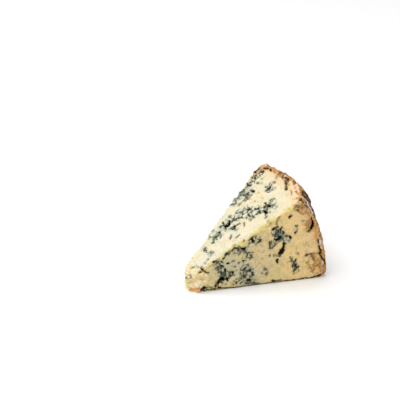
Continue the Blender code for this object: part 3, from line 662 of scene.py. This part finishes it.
def carve(cheese):
    """Moves the skin by the relief of paste and crust, and stores what the material follows."""
    mesh = cheese.data
    skin = survey(cheese)
    points, crust, ragged = skin.points, skin.crust, skin.ragged
    inside, dark, tone, soft = grow_mould_and_contact_shadow(skin)
    relief, height, crease = crust_relief(skin)

    share = smoothstep(CRUST_THICK, 0.3 * MM, crust)
    stands_out = share * relief + (1.0 - share) * paste_relief(skin, inside, dark, soft["teal"])
    stands_out -= MOULD_DEPTH * smoothstep(-0.25, 0.5, inside) * np.clip(dark, 0.0, 1.0)
    move = stands_out[:, None] * skin.normals

    # The underside stays flat, and the sides are tucked in just above it
    over_floor = points[:, 2]
    move[:, :2] *= smoothstep(0.0, 1.0 * MM, over_floor)[:, None]
    move[:, 2] *= smoothstep(0.0, 2.2 * MM, over_floor)
    tucked = MM * smoothstep(1.4 * MM, 0.2 * MM, over_floor) * (0.55 + 0.5 * noise_at(points, 5 * MM, 33.0))
    move[:, :2] -= (tucked * (1.0 - skin.at_tip))[:, None] * skin.normals[:, :2]
    moved = points + move
    moved[:, 2] = np.maximum(moved[:, 2], 0.0)
    moved += np.array(WHEEL_CENTRE)
    mesh.vertices.foreach_set("co", moved.astype(np.float32).ravel())
    mesh.update()
    mesh.shade_smooth()

    dark_crust = dark_crust_at(points, noise_at(points, 4 * MM, 71.0) + 0.5 * ragged)
    dark_crust *= smoothstep(2.0 * MM, 1.2 * MM, crust + 0.2 * MM * ragged)
    ridge = smoothstep(0.7 * MM, 0.2 * MM, depth_under(points, "ridge") + 0.3 * MM * ragged)
    joint = smoothstep(0.5 * MM, 0.0, skin.seam) * smoothstep(-0.3, 0.3, noise_at(points, 7 * MM, 81.0))
    keep(mesh, mould=inside, dark=dark, tone=tone, **soft)
    keep(mesh, crust=crust / MM, height=height, crease=crease, dark_crust=dark_crust)
    keep(mesh, upper=skin.upper, ridge=ridge, broken=skin.at_tip, clod=skin.clod, joint=joint)


def linear(hex_colour):
    """An sRGB hex colour as the linear colour that Blender's sockets hold."""
    shares = [int(hex_colour[i : i + 2], 16) / 255 for i in (1, 3, 5)]
    return (*[c / 12.92 if c <= 0.04045 else ((c + 0.055) / 1.055) ** 2.4 for c in shares], 1.0)


def add_node(tree, kind, output, inputs, **settings):
    """Adds a node and returns one output. Inputs gives, by name or number, a value or a socket."""
    node = tree.nodes.new(kind)
    for name, value in settings.items():
        setattr(node, name, value)
    for key, value in inputs.items():
        if isinstance(value, bpy.types.NodeSocket):
            tree.links.new(value, node.inputs[key])
        else:
            node.inputs[key].default_value = value
    return node.outputs[output]


def cheese_material():
    """Ripe blue cheese: moist cream paste, powdery blue-green mould in its seams, and a dry crust."""
    material = bpy.data.materials.new("ripened_blue_cheese")
    material.use_nodes = True
    tree = material.node_tree
    shader = tree.nodes["Principled BSDF"]
    add = functools.partial(add_node, tree)
    place = add("ShaderNodeTexCoord", "Object", {})
    names = (
        "mould", "dark", "tone", "crust", "height", "crease", "dark_crust", "upper", "ridge", "broken",
        "clod", "joint", *SOFT_COLOURS,
    )
    kept = {name: add("ShaderNodeAttribute", "Fac", {}, attribute_name=name) for name in names}
    sizes = {"fine": 0.35 * MM, "grain": 0.8 * MM, "spots": 2.2 * MM, "middle": 4.5 * MM, "broad": 13 * MM}
    cloudy = {
        name: add("ShaderNodeTexNoise", "Fac", {"Vector": place, "Scale": 1 / size, "Detail": 2.0})
        for name, size in sizes.items()
    }

    def painted(colour, layers):
        """Lays colours over one another: what each follows, where it starts, where it is full, how
        much it covers there, and its colour."""
        for follows, start, full, covers, over in layers:
            reach = {"Value": follows, "From Min": start, "From Max": full, "To Max": covers}
            share = add("ShaderNodeMapRange", "Result", reach, interpolation_type="SMOOTHSTEP")
            over = over if isinstance(over, bpy.types.NodeSocket) else linear(over)
            colour = add("ShaderNodeMix", 2, {0: share, 6: colour, 7: over}, data_type="RGBA")
        return colour

    def stirred(value, by, amount):
        """A value whose edges are made ragged by one of the clouds."""
        moved = add("ShaderNodeMath", 0, {0: by, 1: amount, 2: -amount / 2}, operation="MULTIPLY_ADD")
        return add("ShaderNodeMath", 0, {0: value, 1: moved}, operation="ADD")

    curd_cells = add(
        "ShaderNodeTexVoronoi", "Color", {"Vector": place, "Scale": 1 / (3.4 * MM)}, feature="SMOOTH_F1"
    )
    curd_tone = add("ShaderNodeSeparateColor", "Red", {"Color": curd_cells})
    crust_edge = stirred(kept["crust"], cloudy["middle"], 6.0)
    rind_edge = stirred(stirred(kept["crust"], cloudy["spots"], 4.0), cloudy["grain"], 1.5)
    rind_edge = add("ShaderNodeMath", 0, {0: kept["upper"], 1: -1.2, 2: rind_edge}, operation="MULTIPLY_ADD")
    mould_and_shadow_edge = stirred(stirred(kept["mould"], cloudy["grain"], 1.6), cloudy["fine"], 0.6)
    haze_edge = stirred(kept["haze"], cloudy["spots"], 0.6)
    crumb_edge = stirred(kept["network"], cloudy["grain"], 3.0)
    stain_and_shade_soft = stirred(kept["stain_and_shade"], cloudy["spots"], 2.2)
    stain_and_shade_edge = stirred(stirred(kept["stain_and_shade"], cloudy["spots"], 2.6), cloudy["grain"], 1.8)
    clod_edge = stirred(kept["clod"], cloudy["spots"], 1.6)
    joint_edge = stirred(kept["joint"], cloudy["grain"], 1.2)
    crease_edge = stirred(kept["crease"], cloudy["grain"], 0.8)
    dark_edge = stirred(stirred(kept["dark_crust"], cloudy["grain"], 1.6), cloudy["spots"], 2.4)
    orange_edge = stirred(kept["orange"], cloudy["spots"], 2.4)
    pink_edge = stirred(kept["pink"], cloudy["spots"], 1.6)

    # The front cut's paste is painted darker and yellower than the upper cut's paler, whiter paste: shaded
    # and lit copies of one paste, painted shade on the front and painted light on the upper face
    front = painted(linear("#F9D590"), [
        (kept["crust"], 18.0, 42.0, 0.9, "#D8C898"),
        (cloudy["middle"], 0.45, 0.62, 0.5, "#F0D5A4"),
        (curd_tone, 0.3, 0.8, 0.4, "#D8C480"),
        (cloudy["spots"], 0.53, 0.68, 0.45, "#C9B077"),
        (haze_edge, 0.15, 0.9, 0.8, "#C5C8AC"),
        # light and dark specks on the grain that the bumps follow too: partly mottling, partly painted
        # highlights and painted shade on the crumbs
        (cloudy["grain"], 0.55, 0.68, 0.45, "#F3E4BE"),
        (cloudy["grain"], 0.43, 0.32, 0.35, "#A98853"),
        (crust_edge, 11.0, 3.5, 0.4, "#E4B070"),
        (crust_edge, 5.5, 3.0, 0.6, "#A87238"),
    ])
    upper = painted(linear("#F0E5C0"), [
        (kept["crust"], 30.0, 60.0, 0.6, "#F3EAD4"),
        (cloudy["middle"], 0.45, 0.62, 0.7, "#F3DFC4"),
        (curd_tone, 0.35, 0.85, 0.45, "#E3DDA8"),
        (cloudy["spots"], 0.53, 0.68, 0.6, "#F8F1DA"),
        (haze_edge, 0.15, 0.9, 0.8, "#D9DEC8"),
        # light and dark specks on the grain that the bumps follow too: partly mottling, partly painted
        # highlights and painted shade on the crumbs
        (cloudy["grain"], 0.57, 0.7, 0.5, "#FBF6E4"),
        (cloudy["grain"], 0.44, 0.32, 0.35, "#CDBD8C"),
        (crust_edge, 11.0, 4.0, 0.7, "#F2CB92"),
    ])
    # The tip's paste, where the point broke off, is brighter and yellower: partly fresh paste, partly
    # painted light falling on the tip from the left
    broken = painted(linear("#FFE6A4"), [
        (cloudy["middle"], 0.45, 0.6, 0.8, "#FFF2D2"),
        (curd_tone, 0.3, 0.8, 0.45, "#F6E690"),
        (cloudy["spots"], 0.52, 0.64, 0.7, "#FFFCEE"),
        (cloudy["spots"], 0.44, 0.36, 0.3, "#E6B468"),
        (cloudy["grain"], 0.4, 0.32, 0.15, "#B5823E"),
        (clod_edge, 0.25, -0.2, 0.35, "#D0A35C"),
    ])
    paste = painted(front, [
        # the upper cut gets the lit copy of the paste, with its painted light
        (kept["upper"], 0.1, 0.9, 1.0, upper),
        (joint_edge, 0.2, 1.0, 0.3, "#B3A980"),
        # the tip's brighter paste, with its painted light
        (kept["broken"], 0.15, 0.9, 0.8, broken),
        (kept["ridge"], 0.2, 0.9, 0.7, "#E6CF7A"),
        (kept["gold"], 0.1, 0.9, 0.7, "#EBDF84"),
        # brown stains, and painted shade in the hollows under the ridge's end and beside the crevice
        (stain_and_shade_soft, 0.3, 1.1, 0.65, "#C98C34"),
        (stain_and_shade_edge, 0.4, 1.2, 0.6, "#7A4E18"),
        (kept["pink"], 0.1, 0.9, 0.6, "#FCDCB4"),
        (orange_edge, 0.2, 1.0, 0.8, "#DE9838"),
        (kept["teal"], 0.25, 0.85, 0.9, "#6E8064"),
        (crumb_edge, 0.9, 1.5, 0.5, "#EDE6C8"),
        (mould_and_shadow_edge, -1.0, -0.2, 0.3, "#989A7C"),
    ])
    # The mould's colours, which also paint the contact shadow along the bottom edge
    mould = painted(linear("#171D1B"), [
        (kept["tone"], 0.05, 0.4, 1.0, "#1F1D10"),
        (kept["tone"], 0.5, 0.9, 1.0, "#2E1E08"),
        (kept["dark"], 1.15, 1.5, 0.9, "#060503"),
    ])
    faint = add("ShaderNodeMath", 0, {0: kept["dark"], 1: 1.0}, operation="MINIMUM")
    marked = {"Value": mould_and_shadow_edge, "From Min": -0.3, "From Max": 0.24, "To Max": faint}
    marked = add("ShaderNodeMapRange", "Result", marked, interpolation_type="SMOOTHSTEP")
    rind = painted(linear("#AE7C4A"), [
        (cloudy["broad"], 0.42, 0.62, 0.75, "#C4A682"),
        (cloudy["middle"], 0.42, 0.64, 0.6, "#C98F4C"),
        (cloudy["spots"], 0.5, 0.7, 0.5, "#E8CAA4"),
        (kept["crust"], 0.6, 2.0, 0.65, "#ECC48E"),
        (cloudy["broad"], 0.46, 0.38, 0.5, "#A8826E"),
        (kept["height"], 0.3, 0.75, 0.5, "#DCBC92"),
        (kept["height"], -0.1, -0.8, 0.7, "#5A3A1C"),
        (crease_edge, 0.15, 0.9, 0.6, "#3C240E"),
        (cloudy["spots"], 0.46, 0.38, 0.45, "#7C4E20"),
        (cloudy["grain"], 0.57, 0.68, 0.5, "#50300F"),
        (orange_edge, 0.1, 0.9, 0.8, "#DE9644"),
        (pink_edge, 0.1, 0.9, 0.85, "#FADCB8"),
        (dark_edge, 0.2, 0.85, 0.9, "#24140A"),
        (kept["white"], 0.2, 0.8, 0.95, "#ECE4E0"),
    ])
    crusty = {"Value": rind_edge, "From Min": 3.4, "From Max": 2.6}
    crusty = add("ShaderNodeMapRange", "Result", crusty, interpolation_type="SMOOTHSTEP")
    colour = add("ShaderNodeMix", 2, {0: crusty, 6: paste, 7: rind}, data_type="RGBA")
    colour = add("ShaderNodeMix", 2, {0: marked, 6: colour, 7: mould}, data_type="RGBA")
    dry = add("ShaderNodeMath", 0, {0: crusty, 1: marked}, operation="MAXIMUM")
    sheen = {0: dry, 1: DRY_SHEEN - MOIST_SHEEN, 2: MOIST_SHEEN}
    sheen = add("ShaderNodeMath", 0, sheen, operation="MULTIPLY_ADD")
    rough = {0: dry, 1: DRY_ROUGHNESS - MOIST_ROUGHNESS, 2: MOIST_ROUGHNESS}
    rough = add("ShaderNodeMath", 0, rough, operation="MULTIPLY_ADD")

    bumps = stirred(stirred(cloudy["spots"], cloudy["grain"], 0.5), cloudy["fine"], 0.2)
    bump = {"Height": bumps, "Strength": 1.0, "Distance": 0.8 * MM}
    tree.links.new(colour, shader.inputs["Base Color"])
    tree.links.new(sheen, shader.inputs["Specular IOR Level"])
    tree.links.new(rough, shader.inputs["Roughness"])
    tree.links.new(add("ShaderNodeBump", "Normal", bump), shader.inputs["Normal"])
    shader.inputs["Subsurface Weight"].default_value = 0.1
    shader.inputs["Subsurface Radius"].default_value = (1.0, 0.7, 0.35)
    shader.inputs["Subsurface Scale"].default_value = 1.2 * MM
    return material


def make_camera():
    """The camera, where the photograph's stood."""
    camera = bpy.data.objects.new("camera", bpy.data.cameras.new("camera"))
    bpy.context.scene.collection.objects.link(camera)
    camera.data.lens = CAMERA_LENS
    camera.data.sensor_width = CAMERA_SENSOR
    camera.data.clip_start = 10 * MM
    camera.location = WHEEL_CENTRE + CAMERA_PLACE
    camera.rotation_euler = CAMERA_BACK.to_track_quat("Z", "Y").to_euler()
    bpy.context.scene.camera = camera


def make_studio():
    """A plain pale floor, white surroundings and one large soft light overhead, a little to the left."""
    shape = bmesh.new()
    bmesh.ops.create_grid(shape, x_segments=1, y_segments=1, size=FLOOR_HALF)
    mesh = bpy.data.meshes.new("floor")
    shape.to_mesh(mesh)
    shape.free()
    floor = bpy.data.objects.new("floor", mesh)
    bpy.context.scene.collection.objects.link(floor)
    pale = bpy.data.materials.new("matt_white_board")
    pale.use_nodes = True
    pale.node_tree.nodes["Principled BSDF"].inputs["Base Color"].default_value = linear("#F8F8F8")
    pale.node_tree.nodes["Principled BSDF"].inputs["Roughness"].default_value = 0.9
    mesh.materials.append(pale)

    world = bpy.data.worlds.new("white surroundings")
    bpy.context.scene.world = world
    world.use_nodes = True
    world.node_tree.nodes["Background"].inputs["Color"].default_value = (1.0, 1.0, 1.0, 1.0)
    world.node_tree.nodes["Background"].inputs["Strength"].default_value = SURROUNDINGS

    light = bpy.data.lights.new("soft box", "AREA")
    light.size = LAMP_SIZE
    light.energy = LAMP_POWER
    lamp = bpy.data.objects.new("soft box", light)
    bpy.context.scene.collection.objects.link(lamp)
    lamp.location = LAMP_PLACE
    lamp.rotation_euler = lamp.location.to_track_quat("Z", "Y").to_euler()
    bpy.context.scene.view_settings.view_transform = "Standard"


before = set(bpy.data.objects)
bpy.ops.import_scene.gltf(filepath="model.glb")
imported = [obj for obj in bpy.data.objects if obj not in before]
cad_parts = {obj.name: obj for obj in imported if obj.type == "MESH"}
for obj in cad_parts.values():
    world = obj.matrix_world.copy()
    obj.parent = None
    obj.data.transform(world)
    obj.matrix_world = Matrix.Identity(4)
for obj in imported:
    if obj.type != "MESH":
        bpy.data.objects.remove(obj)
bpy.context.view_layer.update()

make_camera()
make_studio()
cheese = even_skin(cut_wedge())
carve(cheese)
cheese.data.materials.clear()
cheese.data.materials.append(cheese_material())
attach(cheese, "root")
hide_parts(WEDGE)
